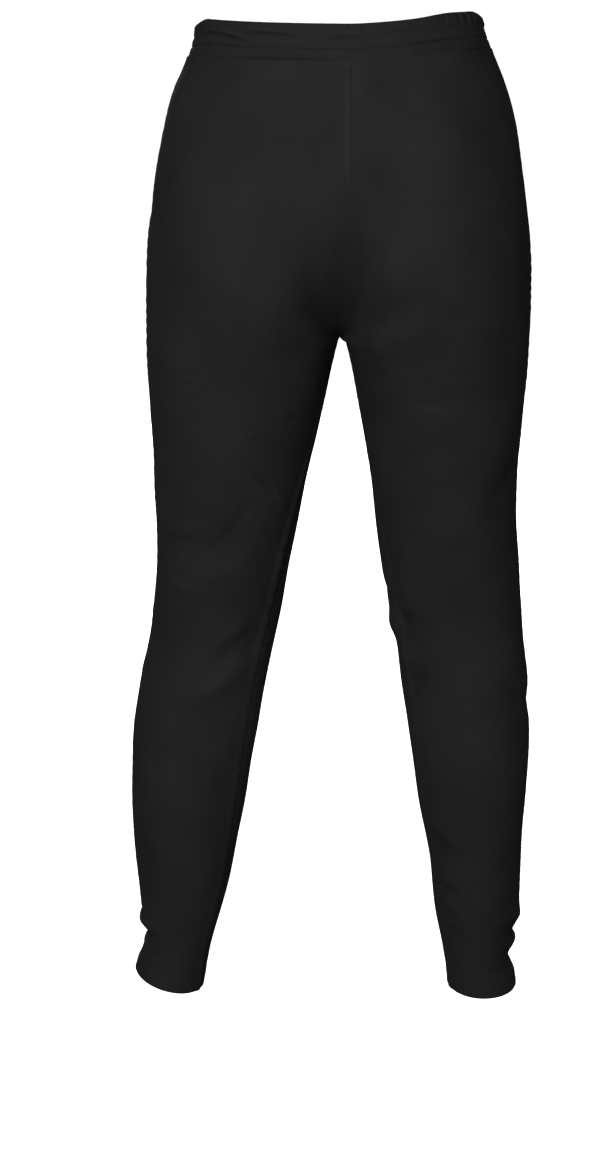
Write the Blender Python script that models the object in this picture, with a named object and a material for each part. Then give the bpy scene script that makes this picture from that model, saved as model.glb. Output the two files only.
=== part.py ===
"""Slim ankle-length trousers with an elastic waistband, in the hollow shape they have when worn.

Sizes are in metres. +Z is up, the wearer's left is +X, the front faces -Y and the back faces +Y.
The origin is the middle of the waist, about half way up the elastic waistband.
Four panels (a front and a back for each leg) hang from one gathered waistband.
"""

import math

import bpy
import numpy as np

WALL = 0.0015  # cloth wall of a panel
HEM_WALL = 0.0024  # the wall where the hem is turned up double
HEM_TURN = 0.020  # height of the turned-up hem
BAND_WALL = 0.0028  # elastic inside its casing
SEAM_GAP = 0.0003  # between neighbouring pieces

BAND_TOP = 0.018
BAND_BOTTOM = -0.0155
FORK_Z = -0.283  # the fork, where the two inseams and the centre seam meet
FORK_ARCH = 0.005  # height of the rounded top of the gap between the legs
FRONT_DIP = 0.020  # how much lower the waist is at the front than at the back
DIP_START = 0.05  # how far behind the middle it starts to drop
SIDE_LIFTS = {"left": 0.003, "right": 0.010}  # how much higher the waist rides at each side
DIP_BEND = 1.2  # how late the front's drop gets steep, where 1 is a straight line
LIFT_BEND = 1.3
WAIST_SLOPE_END = -0.16  # the height below which the dip and the lift no longer show
WAIST_HALF_WIDTH = 0.140
WAIST_HALF_DEPTH = 0.100
SIDE_SHIFT_TOP = -0.10  # below it the sides move from the body's middle to the leg's middle
SIDE_SHIFT_HEIGHT = 0.25
ROUNDNESS = 0.56  # handle length of a quarter turn: 0.5523 is an ellipse, more is squarer
OUTLINE_STEPS = 48  # points worked out on each quarter of an outline

SECTIONS = np.array(
    [
        # z, half widths from the middle of the body, then depths in front of and behind it
        (0.018, 0.1362, 0.0000, 0.1342, 0.0000, -0.0970, 0.1035),
        (0.000, 0.1380, 0.0000, 0.1385, 0.0000, -0.0985, 0.1045),
        (-0.018, 0.1435, 0.0000, 0.1450, 0.0000, -0.1010, 0.1070),
        (-0.045, 0.1555, 0.0000, 0.1565, 0.0000, -0.1090, 0.1130),
        (-0.085, 0.1670, 0.0000, 0.1670, 0.0000, -0.1160, 0.1220),
        (-0.130, 0.1755, 0.0000, 0.1745, 0.0000, -0.1180, 0.1310),
        (-0.190, 0.1835, 0.0000, 0.1810, 0.0000, -0.1160, 0.1345),
        (-0.245, 0.1868, 0.0000, 0.1828, 0.0000, -0.1110, 0.1250),
        (-0.283, 0.1873, 0.0022, 0.1822, 0.0042, -0.1070, 0.1130),
        (-0.310, 0.1860, 0.0090, 0.1805, 0.0115, -0.1050, 0.1050),
        (-0.345, 0.1845, 0.0170, 0.1778, 0.0185, -0.1030, 0.0960),
        (-0.425, 0.1812, 0.0342, 0.1722, 0.0325, -0.0960, 0.0790),
        (-0.507, 0.1808, 0.0510, 0.1750, 0.0418, -0.0860, 0.0620),
        (-0.570, 0.1865, 0.0620, 0.1798, 0.0525, -0.0780, 0.0530),
        (-0.628, 0.1975, 0.0745, 0.1858, 0.0610, -0.0690, 0.0570),
        (-0.690, 0.2065, 0.0850, 0.1880, 0.0710, -0.0600, 0.0660),
        (-0.750, 0.2072, 0.0955, 0.1845, 0.0805, -0.0530, 0.0670),
        (-0.810, 0.2048, 0.1078, 0.1812, 0.0900, -0.0460, 0.0600),
        (-0.865, 0.2005, 0.1210, 0.1790, 0.0972, -0.0400, 0.0530),
        (-0.905, 0.1970, 0.1325, 0.1742, 0.1045, -0.0380, 0.0510),
        (-0.932, 0.2062, 0.1385, 0.1762, 0.1085, -0.0390, 0.0530),
        (-0.950, 0.2090, 0.1410, 0.1780, 0.1090, -0.0400, 0.0540),
    ],
    dtype=[
        ("z", float),
        ("left_out", float),
        ("left_in", float),
        ("right_out", float),
        ("right_in", float),
        ("front", float),
        ("back", float),
    ],
)

# Where the front and the back stand out furthest, as a share of the way from the inside of a leg, or
# from the middle of the body, to the outer side
FULLEST = np.array(
    [
        (0.018, 0.10, 0.18),
        (-0.085, 0.16, 0.30),
        (-0.190, 0.28, 0.42),
        (-0.283, 0.45, 0.47),
        (-0.345, 0.50, 0.50),
        (-0.950, 0.50, 0.50),
    ],
    dtype=[("z", float), ("front", float), ("back", float)],
)

# How far each seam has turned towards the back on the leg, measured along the cloth
SEAM_TURNS = np.array(
    [
        (0.018, 0.004, 0.000, 0.000, 0.000),
        (-0.130, 0.010, 0.000, 0.000, 0.000),
        (-0.283, 0.014, 0.000, 0.004, 0.000),
        (-0.350, 0.014, 0.014, 0.004, 0.008),
        (-0.450, 0.012, 0.034, 0.004, 0.022),
        (-0.560, 0.010, 0.038, 0.002, 0.026),
        (-0.700, 0.006, 0.036, 0.000, 0.024),
        (-0.850, 0.002, 0.024, 0.000, 0.014),
        (-0.945, 0.000, 0.018, 0.000, 0.010),
    ],
    dtype=[
        ("z", float),
        ("left_side", float),
        ("left_inner", float),
        ("right_side", float),
        ("right_inner", float),
    ],
)

HEM_HEIGHTS = {"left": -0.932, "right": -0.941}
HEM_TILTS = {"left": 0.009, "right": 0.000}  # how much lower the hem is at the inseam
HEM_BACK_DROP = 0.04  # how much lower it is behind, for each metre of depth
HEM_SLOPE_HEIGHT = 0.07  # the tilt and the drop fade out over this height
CENTRE_CURVE_TOPS = {"front": -0.165, "back": -0.130}  # where each centre seam starts to curve in
CREASE_HEIGHT = 0.13  # above the fork, over which the two legs' shapes run together
CREASE_ROUNDING = 0.012
CREASE_ROUNDING_HEIGHT = 0.02
CREASE_SQUARING = 0.40  # how much squarer the inside of each leg gets over that height

# Large folds. start and end are (distance along the cloth from the side seam, height): behind the
# seam counts as positive. bow bends the fold sideways, and a negative depth is a trough.
FOLDS = np.array(
    [
        # knee of the left leg, behind and in front
        ("left", 0.020, -0.486, 0.092, -0.488, -0.004, 0.012, -0.0042),
        ("left", 0.080, -0.490, 0.135, -0.448, 0.008, 0.012, -0.0036),
        ("left", 0.025, -0.508, 0.110, -0.510, 0.006, 0.012, 0.0028),
        ("left", 0.150, -0.566, 0.095, -0.598, -0.006, 0.014, -0.0034),
        ("left", 0.135, -0.585, 0.080, -0.636, -0.006, 0.014, 0.0030),
        ("left", 0.000, -0.560, 0.060, -0.590, 0.006, 0.014, -0.0026),
        ("left", -0.095, -0.520, -0.010, -0.500, 0.008, 0.013, -0.0030),
        ("left", -0.155, -0.590, -0.050, -0.572, 0.006, 0.015, -0.0034),
        # fork and thigh of the left leg, in front
        ("left", -0.285, -0.300, -0.175, -0.262, -0.008, 0.014, -0.0036),
        ("left", -0.255, -0.345, -0.150, -0.322, -0.006, 0.016, -0.0030),
        # ankle of the left leg
        ("left", -0.050, -0.866, 0.035, -0.874, 0.003, 0.008, 0.0030),
        ("left", -0.065, -0.880, 0.050, -0.886, 0.004, 0.008, -0.0046),
        # under the seat and down the thigh of the right leg
        ("right", 0.140, -0.246, 0.275, -0.282, -0.010, 0.013, -0.0040),
        ("right", 0.130, -0.276, 0.235, -0.300, -0.010, 0.018, 0.0026),
        ("right", 0.060, -0.330, 0.170, -0.322, 0.006, 0.014, -0.0024),
        ("right", 0.025, -0.400, 0.085, -0.428, 0.006, 0.016, -0.0034),
        ("right", -0.290, -0.296, -0.185, -0.268, -0.006, 0.014, -0.0038),
        ("right", -0.250, -0.330, -0.140, -0.316, -0.008, 0.016, -0.0028),
        # knee of the right leg, behind and in front
        ("right", 0.175, -0.486, 0.215, -0.515, 0.004, 0.012, -0.0036),
        ("right", 0.125, -0.560, 0.190, -0.572, 0.004, 0.013, -0.0030),
        ("right", 0.120, -0.600, 0.185, -0.586, 0.006, 0.014, 0.0028),
        ("right", -0.030, -0.648, 0.065, -0.630, 0.006, 0.013, -0.0036),
        ("right", -0.120, -0.530, -0.020, -0.512, 0.008, 0.013, -0.0032),
        ("right", -0.140, -0.585, -0.035, -0.594, 0.006, 0.015, -0.0030),
        # calf and ankle of the right leg
        ("right", 0.075, -0.802, 0.140, -0.780, 0.004, 0.014, -0.0022),
        ("right", -0.045, -0.866, 0.055, -0.862, 0.004, 0.009, 0.0026),
        ("right", -0.055, -0.882, 0.055, -0.878, 0.003, 0.007, -0.0030),
        ("right", -0.050, -0.892, 0.040, -0.888, 0.003, 0.007, 0.0030),
        ("right", -0.060, -0.912, 0.050, -0.906, 0.003, 0.010, -0.0040),
    ],
    dtype=[
        ("leg", "U5"),
        ("start_along", float),
        ("start_z", float),
        ("end_along", float),
        ("end_z", float),
        ("bow", float),
        ("width", float),
        ("depth", float),
    ],
)

FOLD_END = 0.15  # share of its depth that a fold keeps at its two ends
FOLD_FADE = 0.04  # width over which folds fade towards the middle of the body
FOLD_FADE_HEIGHT = 0.02  # height below the fork over which they come to run right round the leg

GATHERS = 60  # small gathers of the waistband over its elastic
GATHER_PHASES = (1.0, 0.0, -1.0, 0.0)  # crest, slope, trough, slope
GATHER_DEPTH = 0.0011
GATHER_AT_BACK = 0.30  # share of the depth at the middle of the back and the front
GATHER_AT_SEAM = 0.40  # share of the depth at the band's lower edge
STITCH_GROOVE = 0.0009
# Height up the waistband's outer face as a share, and how far that row stands out
BAND_PROFILE = (
    (0.00, 0.0000),
    (0.14, 0.0006),
    (0.32, -STITCH_GROOVE),
    (0.47, 0.0008),
    (0.62, -STITCH_GROOVE),
    (0.82, 0.0009),
    (1.00, -0.0004),
)

TRUNK_ROWS = 15
EVEN_ROWS = 0.3  # how evenly they are spaced: 0 crowds them towards the fork, and 1 is even
# Columns from the inside, or the middle of the body, to half way across, and on to the side seam
PANEL_COLUMNS = {"front": (5, 6), "back": (6, 7)}
# Rows down the leg, closer together where it creases: (height at the top, rows to the next entry)
LEG_ROWS = (
    (FORK_Z, 3),
    (-0.300, 6),
    (-0.440, 15),
    (-0.640, 6),
    (-0.830, 12),
    (-0.941, 0),
)

BLACK_CLOTH = (0.013, 0.013, 0.014, 1.0)
CLOTH_ROUGHNESS = 0.9
SHARP_DEGREES = 50


def smooth(t):
    """0 to 1 with no corner at either end."""
    t = np.clip(t, 0.0, 1.0)
    return t * t * (3 - 2 * t)


def read(table, column, z):
    """A column of a table at heights z, on a smooth curve through its rows."""
    at, value = table["z"][::-1], table[column][::-1]
    slope = np.gradient(value, at)
    i = np.clip(np.searchsorted(at, z) - 1, 0, len(at) - 2)
    step = at[i + 1] - at[i]
    t = np.clip((z - at[i]) / step, 0.0, 1.0)
    return (
        (2 * t**3 - 3 * t**2 + 1) * value[i]
        + (t**3 - 2 * t**2 + t) * step * slope[i]
        + (3 * t**2 - 2 * t**3) * value[i + 1]
        + (t**3 - t**2) * step * slope[i + 1]
    )


def inner_distance(leg, z):
    """How far the inside of a leg is from the middle: nothing down to the fork, then an arch."""
    arch = np.sqrt(np.clip((FORK_Z - z) / FORK_ARCH, 0.0, 1.0))
    return arch * read(SECTIONS, leg + "_in", np.minimum(z, FORK_Z))


def centre_depth(face, z, middle):
    """Depth of the centre seam: with the body's widest depth above, curving under to the fork."""
    top = CENTRE_CURVE_TOPS[face]
    turn = np.clip((top - z) / (top - FORK_Z), 0.0, 1.0)
    return middle + (read(SECTIONS, face, z) - middle) * np.sqrt(1 - turn**2)


def corner(a, b, c, d, t):
    """A cubic curve through a and d with handles b and c; a to d hold one point for each row."""
    a, b, c, d = (p[:, None, :] for p in (a, b, c, d))
    t = t[None, :, None]
    return (1 - t) ** 3 * a + 3 * t * (1 - t) ** 2 * b + 3 * t**2 * (1 - t) * c + t**3 * d


def sections(leg, z):
    """One leg's outline at heights z, as (row, point, xy), and the index of its side point.

    It runs from the inside by the front, the outer side and the back to the inside again.
    Down to the fork it is half of the body's outline, open at the middle.
    """
    z = np.asarray(z, float)
    inner, outer = inner_distance(leg, z), read(SECTIONS, leg + "_out", z)
    depths = {face: read(SECTIONS, face, z) for face in ("front", "back")}
    shift = smooth((SIDE_SHIFT_TOP - z) / SIDE_SHIFT_HEIGHT)
    middle = (depths["front"] + depths["back"]) / 2 * shift
    side = np.stack([outer, middle], axis=1)
    t = np.linspace(0.0, 1.0, OUTLINE_STEPS + 1)
    above = smooth((z - FORK_Z) / CREASE_HEIGHT)
    runs = {}
    for face, sign in (("front", -1), ("back", 1)):
        depth, end = depths[face], centre_depth(face, z, middle)
        full = inner + (outer - inner) * read(FULLEST, face, z)
        fullest = np.stack([full, depth], axis=1)
        flat = np.stack([(full - inner) * ROUNDNESS, 0 * z], axis=1)
        tall = np.stack([0 * z, (depth - middle) * ROUNDNESS], axis=1)
        wide = np.stack([(outer - full) * ROUNDNESS, 0 * z], axis=1)
        inside, centre = np.stack([inner, middle], axis=1), np.stack([inner, end], axis=1)
        squarer = (1 + CREASE_SQUARING / ROUNDNESS * above)[:, None]
        # A round leg at the fork runs into the body's flat middle above it.
        as_leg = corner(inside, inside + tall * squarer, fullest - flat * squarer, fullest, t)
        as_body = corner(centre, centre + flat, fullest - flat, fullest, t)
        inner_run = as_leg + (as_body - as_leg) * above[:, None, None]
        # The cloth bridges the crease between the legs at the depth of the centre seam.
        bridge, outward = end[:, None] * sign, inner_run[..., 1] * sign
        near_fork = smooth((z - FORK_Z) / CREASE_ROUNDING_HEIGHT)
        rounding = (CREASE_ROUNDING * (1 - above) * near_fork)[:, None]
        bridged = (outward + bridge + np.sqrt((outward - bridge) ** 2 + rounding**2)) / 2
        inner_run[..., 1] = np.where(z[:, None] > FORK_Z, bridged, outward) * sign
        runs[face] = (inner_run, corner(fullest, fullest + wide, side + tall, side, t))
    (front_in, front_out), (back_in, back_out) = runs["front"], runs["back"]
    outline = np.concatenate(
        [front_in[:, :-1], front_out[:, :-1], back_out[:, ::-1][:, :-1], back_in[:, ::-1]], axis=1
    )
    return outline, 2 * OUTLINE_STEPS


def along(outline):
    """Distance along each row's outline."""
    step = np.linalg.norm(np.diff(outline, axis=1), axis=2)
    return np.concatenate([np.zeros((len(outline), 1)), np.cumsum(step, axis=1)], axis=1)


def spans(*stops):
    """Evenly spaced values between stops, given as value, count, value, count, ..., value."""
    parts = [np.linspace(a, b, n + 1)[:-1] for a, n, b in zip(stops[:-2:2], stops[1::2], stops[2::2])]
    return np.concatenate(parts + [stops[-1:]])


def cloth_grid(leg, z):
    """Points of one leg's cloth as (row, column, xyz), each column's distance from the side seam, and
    the side seam's column. Columns run from the inseam by the front to the side seam and by the back
    to the inseam again."""
    outline, side = sections(leg, z)
    distance = along(outline)
    total = distance[:, -1]
    side_turn = read(SEAM_TURNS, leg + "_side", z)
    inner_turn = np.where(z <= FORK_Z, read(SEAM_TURNS, leg + "_inner", z), 0.0)
    half_way = (inner_distance(leg, z) + read(SECTIONS, leg + "_out", z)) / 2
    (front_in, front_out), (back_out, back_in) = PANEL_COLUMNS["front"], PANEL_COLUMNS["back"][::-1]
    grid = np.zeros((len(z), front_in + front_out + back_out + back_in + 1, 3))
    spread = np.zeros(grid.shape[:2])
    for row in range(len(z)):
        to_front = np.interp(half_way[row], outline[row, :side, 0], distance[row, :side])
        to_back = np.interp(-half_way[row], -outline[row, side:, 0], distance[row, side:])
        seam = distance[row, side] + side_turn[row]
        first, last = -inner_turn[row], total[row] - inner_turn[row]
        at = spans(first, front_in, to_front, front_out, seam, back_out, to_back, back_in, last)
        wrapped = np.concatenate([distance[row, :-1] - total[row], distance[row]])
        for axis in range(2):
            value = outline[row, :, axis]
            grid[row, :, axis] = np.interp(at, wrapped, np.concatenate([value[:-1], value]))
        grid[row, :, 2] = z[row]
        spread[row] = at - seam
    return grid, spread, front_in + front_out


def normals(grid, closed):
    """Outward unit normals. closed marks the rows whose first and last columns are one point, and
    the other rows end at the middle of the body, where the two legs' cloth is level."""
    across = np.gradient(grid, axis=1)
    down = np.gradient(grid, axis=0)
    joined = (grid[:, 1] - grid[:, -2]) / 2
    level = np.array([1.0, 0.0, 0.0])
    across[:, 0] = np.where(closed[:, None], joined, level)
    across[:, -1] = np.where(closed[:, None], joined, -level)
    normal = np.cross(down, across)
    normal /= np.linalg.norm(normal, axis=2, keepdims=True)
    shared = normal[closed, 0] + normal[closed, -1]
    normal[closed, 0] = normal[closed, -1] = shared / np.linalg.norm(shared, axis=1, keepdims=True)
    return normal


def one_fold(fold, spread, z):
    """How far one fold stands out at each point."""
    start = np.array([fold["start_along"], fold["start_z"]])
    run = np.array([fold["end_along"], fold["end_z"]]) - start
    length = np.linalg.norm(run)
    run /= length
    over, up = spread - start[0], z - start[1]
    share = (over * run[0] + up * run[1]) / length
    aside = over * run[1] - up * run[0]
    bow = fold["bow"] * np.sin(math.pi * np.clip(share, 0.0, 1.0))
    taper = smooth((1 + FOLD_END) * (1 - np.abs(2 * share - 1)) + FOLD_END)
    return fold["depth"] * taper * np.exp(-(((aside - bow) / fold["width"]) ** 2))


def fold_height(leg, spread, z):
    """How far the cloth stands out because of the folds, which run on across a leg's inseam but fade
    towards the middle of the body."""
    round_leg = spread[:, -1:] - spread[:, :1]
    on_leg = smooth((FORK_Z - z[:, :1]) / FOLD_FADE_HEIGHT)
    height = np.zeros_like(spread)
    for fold in FOLDS[FOLDS["leg"] == leg]:
        height += one_fold(fold, spread, z)
        for lap in (-round_leg, round_leg):
            height += on_leg * one_fold(fold, spread + lap, z)
    to_middle = np.minimum(spread - spread[:, :1], spread[:, -1:] - spread)
    return height * np.maximum(on_leg, smooth(to_middle / FOLD_FADE))


def settle(points, leg):
    """Lowers the front of the waist, lifts its sides and slopes the hem."""
    x, y, z = points[..., 0], points[..., 1], points[..., 2]
    near_waist = smooth((z - WAIST_SLOPE_END) / (BAND_BOTTOM - WAIST_SLOPE_END))
    forward = np.clip((DIP_START - y) / (DIP_START + WAIST_HALF_DEPTH), 0.0, 1.0) ** DIP_BEND
    sideward = np.clip(np.abs(x) / WAIST_HALF_WIDTH, 0.0, 1.0) ** LIFT_BEND
    lift = np.where(x < 0, SIDE_LIFTS["right"], SIDE_LIFTS["left"])
    rise = near_waist * (lift * sideward - FRONT_DIP * forward)
    if leg:
        near_hem = smooth((HEM_HEIGHTS[leg] - z) / HEM_SLOPE_HEIGHT + 1)
        outer, inner = (read(SECTIONS, leg + end, z) for end in ("_out", "_in"))
        outward = (2 * np.abs(x) - outer - inner) / (outer - inner)
        rise += near_hem * (HEM_TILTS[leg] * outward - HEM_BACK_DROP * y)
    settled = points.copy()
    settled[..., 2] = z + rise
    return settled


def panel_rows(leg):
    """Heights of a panel's rows, closest together at the fork, the knee and the ankle."""
    top, hem = BAND_BOTTOM - SEAM_GAP / 2, HEM_HEIGHTS[leg]
    share = np.linspace(0.0, 1.0, TRUNK_ROWS + 1)
    crowded = np.sin(share * math.pi / 2)
    rows = list(top + (FORK_Z - top) * (crowded + (share - crowded) * EVEN_ROWS))
    for (start, count), (end, _) in zip(LEG_ROWS[:-1], LEG_ROWS[1:]):
        rows += list(np.linspace(start, end, count + 1)[1:])
    rows = np.array(rows)
    below = rows < FORK_Z
    rows[below] = FORK_Z + (rows[below] - FORK_Z) * (FORK_Z - hem) / (FORK_Z - rows[-1])
    return rows


def smooth_mesh(name, points, faces):
    mesh = bpy.data.meshes.new(name)
    mesh.from_pydata(points, [], faces)
    mesh.shade_smooth()
    mesh.set_sharp_from_angle(angle=math.radians(SHARP_DEGREES))
    return mesh


def wall_mesh(name, outer, inner):
    """A closed wall between two grids of points, whose rows run down and columns run across."""
    rows, columns = outer.shape[:2]
    points = np.concatenate([outer.reshape(-1, 3), inner.reshape(-1, 3)])
    number = np.arange(2 * rows * columns).reshape(2, rows, columns)
    front, back = number
    faces = []
    for row in range(rows - 1):
        for column in range(columns - 1):
            ring = ((row, column), (row + 1, column), (row + 1, column + 1), (row, column + 1))
            faces.append([int(front[corner_at]) for corner_at in ring])
            faces.append([int(back[corner_at]) for corner_at in reversed(ring)])
    # The four edges, each joined from the outer points to the inner ones
    ahead, back_again = slice(None), slice(None, None, -1)
    for edge in ((0, ahead), (ahead, -1), (-1, back_again), (back_again, 0)):
        outside, inside = front[edge].tolist(), back[edge].tolist()
        for a, b, c, d in zip(outside, outside[1:], inside[1:], inside):
            faces.append([a, b, c, d])
    return smooth_mesh(name, points.tolist(), faces)


def ring_mesh(name, outer, inner):
    """A closed ring wall whose inner face is one plain band between its top and bottom rows."""
    points = np.concatenate([outer, inner[::-1]])
    rows, columns = points.shape[:2]
    number = np.arange(rows * columns).reshape(rows, columns)
    ahead = np.roll(number, -1, axis=1)
    below, below_ahead = np.roll(number, -1, axis=0), np.roll(ahead, -1, axis=0)
    faces = np.stack([number, below, below_ahead, ahead], axis=2).reshape(-1, 4)
    return smooth_mesh(name, points.reshape(-1, 3).tolist(), faces.tolist())


def black_cloth():
    material = bpy.data.materials.new("black_cotton")
    material.use_nodes = True
    shader = material.node_tree.nodes["Principled BSDF"]
    shader.inputs["Base Color"].default_value = BLACK_CLOTH
    shader.inputs["Roughness"].default_value = CLOTH_ROUGHNESS
    shader.inputs["Metallic"].default_value = 0.0
    return material


def place(name, mesh, material, collection, parent):
    mesh.materials.append(material)
    piece = bpy.data.objects.new(name, mesh)
    piece.parent = parent
    collection.objects.link(piece)
    return piece


def leg_panels(leg):
    """Meshes of one leg's front and back panels."""
    z = panel_rows(leg)
    grid, spread, side = cloth_grid(leg, z)
    closed = z <= FORK_Z
    grid += normals(grid, closed) * fold_height(leg, spread, grid[..., 2])[..., None]
    thickness = np.where(z < HEM_HEIGHTS[leg] + HEM_TURN, HEM_WALL, WALL)
    inner = grid - normals(grid, closed) * thickness[:, None, None]
    across = np.gradient(grid, axis=1)
    across[:, 0] = across[:, -1] = (grid[:, 1] - grid[:, -2]) / 2
    back_off = across / np.linalg.norm(across, axis=2, keepdims=True) * SEAM_GAP / 2
    back_off[~closed, 0] = back_off[~closed, -1] = 0.0
    meshes = {}
    for face, columns in (("front", slice(0, side + 1)), ("back", slice(side, None))):
        walls = []
        for layer in (grid, inner):
            cut = layer[:, columns].copy()
            cut[:, 0] += back_off[:, columns][:, 0]
            cut[:, -1] -= back_off[:, columns][:, -1]
            # Nothing crosses the middle of the body, where the other leg's panel starts.
            cut[..., 0] = np.maximum(cut[..., 0], SEAM_GAP / 2)
            if leg == "right":
                cut[..., 0] *= -1
                cut = cut[:, ::-1]
            walls.append(settle(cut, leg))
        name = f"{face}_{leg}"
        meshes[name] = wall_mesh(name, *walls)
    return meshes


def body_ring(z, shares):
    """The whole outline of the waist at heights z, as (row, column, xyz), with a column at each
    share of the way round from the middle of the front."""
    rings = np.zeros((len(z), len(shares), 3))
    halves = {leg: sections(leg, z)[0] for leg in ("left", "right")}
    for row, height in enumerate(z):
        left, right = halves["left"][row], halves["right"][row] * (-1, 1)
        loop = np.concatenate([left[:-1], right[::-1]])[None]
        distance = along(loop)[0]
        for axis in range(2):
            rings[row, :, axis] = np.interp(shares * distance[-1], distance, loop[0, :, axis])
        rings[row, :, 2] = height
    return rings


def gather_layout():
    """Uneven gathers round the waist: each column's share of the way round, and its height."""
    number = np.arange(GATHERS)
    width = 1 + 0.30 * np.sin(2.4 * number) + 0.18 * np.sin(0.9 * number + 1.0)
    depth = 0.62 + 0.38 * np.sin(1.7 * number + 0.5 * np.sin(0.8 * number))
    phases = len(GATHER_PHASES)
    steps = np.repeat(width, phases)
    shares = (np.cumsum(steps) - steps) / steps.sum()
    return shares, np.repeat(depth, phases) * np.tile(GATHER_PHASES, GATHERS)


def waistband():
    """The elastic waistband: two rows of stitching divide it into three soft channels."""
    low, high = BAND_BOTTOM + SEAM_GAP / 2, BAND_TOP
    heights, stand = np.array(BAND_PROFILE)[::-1].T
    shares, wave = gather_layout()
    ring = body_ring(low + (high - low) * heights, shares)
    turn = np.roll(ring, -1, axis=1) - np.roll(ring, 1, axis=1)
    outward = np.stack([turn[..., 1], -turn[..., 0], 0 * turn[..., 0]], axis=2)
    outward /= np.linalg.norm(outward, axis=2, keepdims=True)
    # The gathers are strongest at the hips and nearly flat at the middle of the back.
    to_side = np.abs(ring[..., 0]) / WAIST_HALF_WIDTH
    strength = GATHER_AT_BACK + (1 - GATHER_AT_BACK) * to_side
    strength *= GATHER_AT_SEAM + (1 - GATHER_AT_SEAM) * heights[:, None]
    gather = GATHER_DEPTH * wave * strength
    outer = ring + outward * (stand[:, None] + gather)[..., None]
    inner = (ring - outward * BAND_WALL)[[0, -1]]
    return ring_mesh("waistband", settle(outer, None), settle(inner, None))


def main():
    for old in list(bpy.data.objects):
        bpy.data.objects.remove(old, do_unlink=True)
    collection = bpy.data.collections.new("trousers")
    bpy.context.scene.collection.children.link(collection)
    waist = bpy.data.objects.new("waist_centre", None)
    collection.objects.link(waist)
    cloth = black_cloth()
    place("waistband", waistband(), cloth, collection, waist)
    for leg in ("left", "right"):
        for name, mesh in leg_panels(leg).items():
            place(name, mesh, cloth, collection, waist)


main()
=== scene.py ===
"""Slim black trousers with an elastic waistband, seen from behind.

The solids are loaded as a fixed frame. The cloth here follows their form within a few millimetres, with
closer rows and columns, and adds the finer creases, gathers, seams, hems and stitches of the real cloth.
The tables of sections, seams and folds are in millimetres, and everything else is in metres. +Z is up,
the wearer's left is +X, the front faces -Y and the back faces +Y.
"""

import math

import bpy
import numpy as np
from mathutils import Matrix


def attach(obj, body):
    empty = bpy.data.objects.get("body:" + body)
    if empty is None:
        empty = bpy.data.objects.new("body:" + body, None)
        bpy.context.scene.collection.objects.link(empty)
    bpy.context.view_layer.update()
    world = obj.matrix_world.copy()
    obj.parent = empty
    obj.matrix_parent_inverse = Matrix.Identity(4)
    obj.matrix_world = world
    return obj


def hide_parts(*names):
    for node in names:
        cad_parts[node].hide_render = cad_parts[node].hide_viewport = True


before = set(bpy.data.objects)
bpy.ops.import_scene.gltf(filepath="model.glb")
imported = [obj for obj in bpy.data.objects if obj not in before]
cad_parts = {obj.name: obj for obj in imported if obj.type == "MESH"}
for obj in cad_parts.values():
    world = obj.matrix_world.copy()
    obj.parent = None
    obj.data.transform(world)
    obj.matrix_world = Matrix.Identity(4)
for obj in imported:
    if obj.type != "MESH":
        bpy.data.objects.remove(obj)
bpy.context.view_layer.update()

PER_METRE = 1000


def table(names, units, *rows):
    """Rows of numbers with named columns, each divided by its units."""
    rows = np.array(rows, float) / units
    return np.array([tuple(row) for row in rows], dtype=[(name, float) for name in names.split(", ")])


def fold_table(*rows):
    """Folds of the cloth, each with its start and end as a distance along the cloth and a height.

    On a leg the distance is from the side seam, positive behind it. bow bends a fold sideways, a negative
    depth is a trough, and beside is the share of the depth that comes back as a ridge next to a trough.
    """
    names = "start_along, start_z, end_along, end_z, bow, width, depth, beside"
    return table(names, [PER_METRE] * 7 + [1], *rows)


# The form that the cloth follows

SIDES = {"left": (1, 1, 1), "right": (-1, 1, 1)}  # cloth is made at +X, and the right leg's mirrored
BAND_TOP = 0.018
BAND_BOTTOM = -0.0155
BAND_WALL = 0.0028
FORK_Z = -0.283
FORK_ARCH = 0.005
FORK_ARCH_REACH = 0.009  # how far round the leg the arch between the legs draws the cloth
FRONT_DIP = 0.020
DIP_START = 0.05
SIDE_LIFTS = {"left": 0.003, "right": 0.010}
CORNER_DROP = 0.0045
CORNER_START = 0.122
CORNER_WIDTH = 0.016
TOP_SWELL = 0.0024
TOP_SWELL_AT = -0.100
TOP_SWELL_REACH = 0.022
DIP_BEND = 1.2
LIFT_BEND = 1.3
SEAM_LEAN = 0.011  # how far the centre-back seam leans to the wearer's right at the waist
SEAM_LEAN_TOP = -0.130
SEAM_LEAN_REACH = 0.050
WAIST_SLOPE_END = -0.16
WAIST_HALF_WIDTH = 0.140
WAIST_HALF_DEPTH = 0.100
SIDE_SHIFT_TOP = -0.10
SIDE_SHIFT_HEIGHT = 0.25
ROUNDNESS = 0.56
OUTLINE_STEPS = 96

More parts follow.
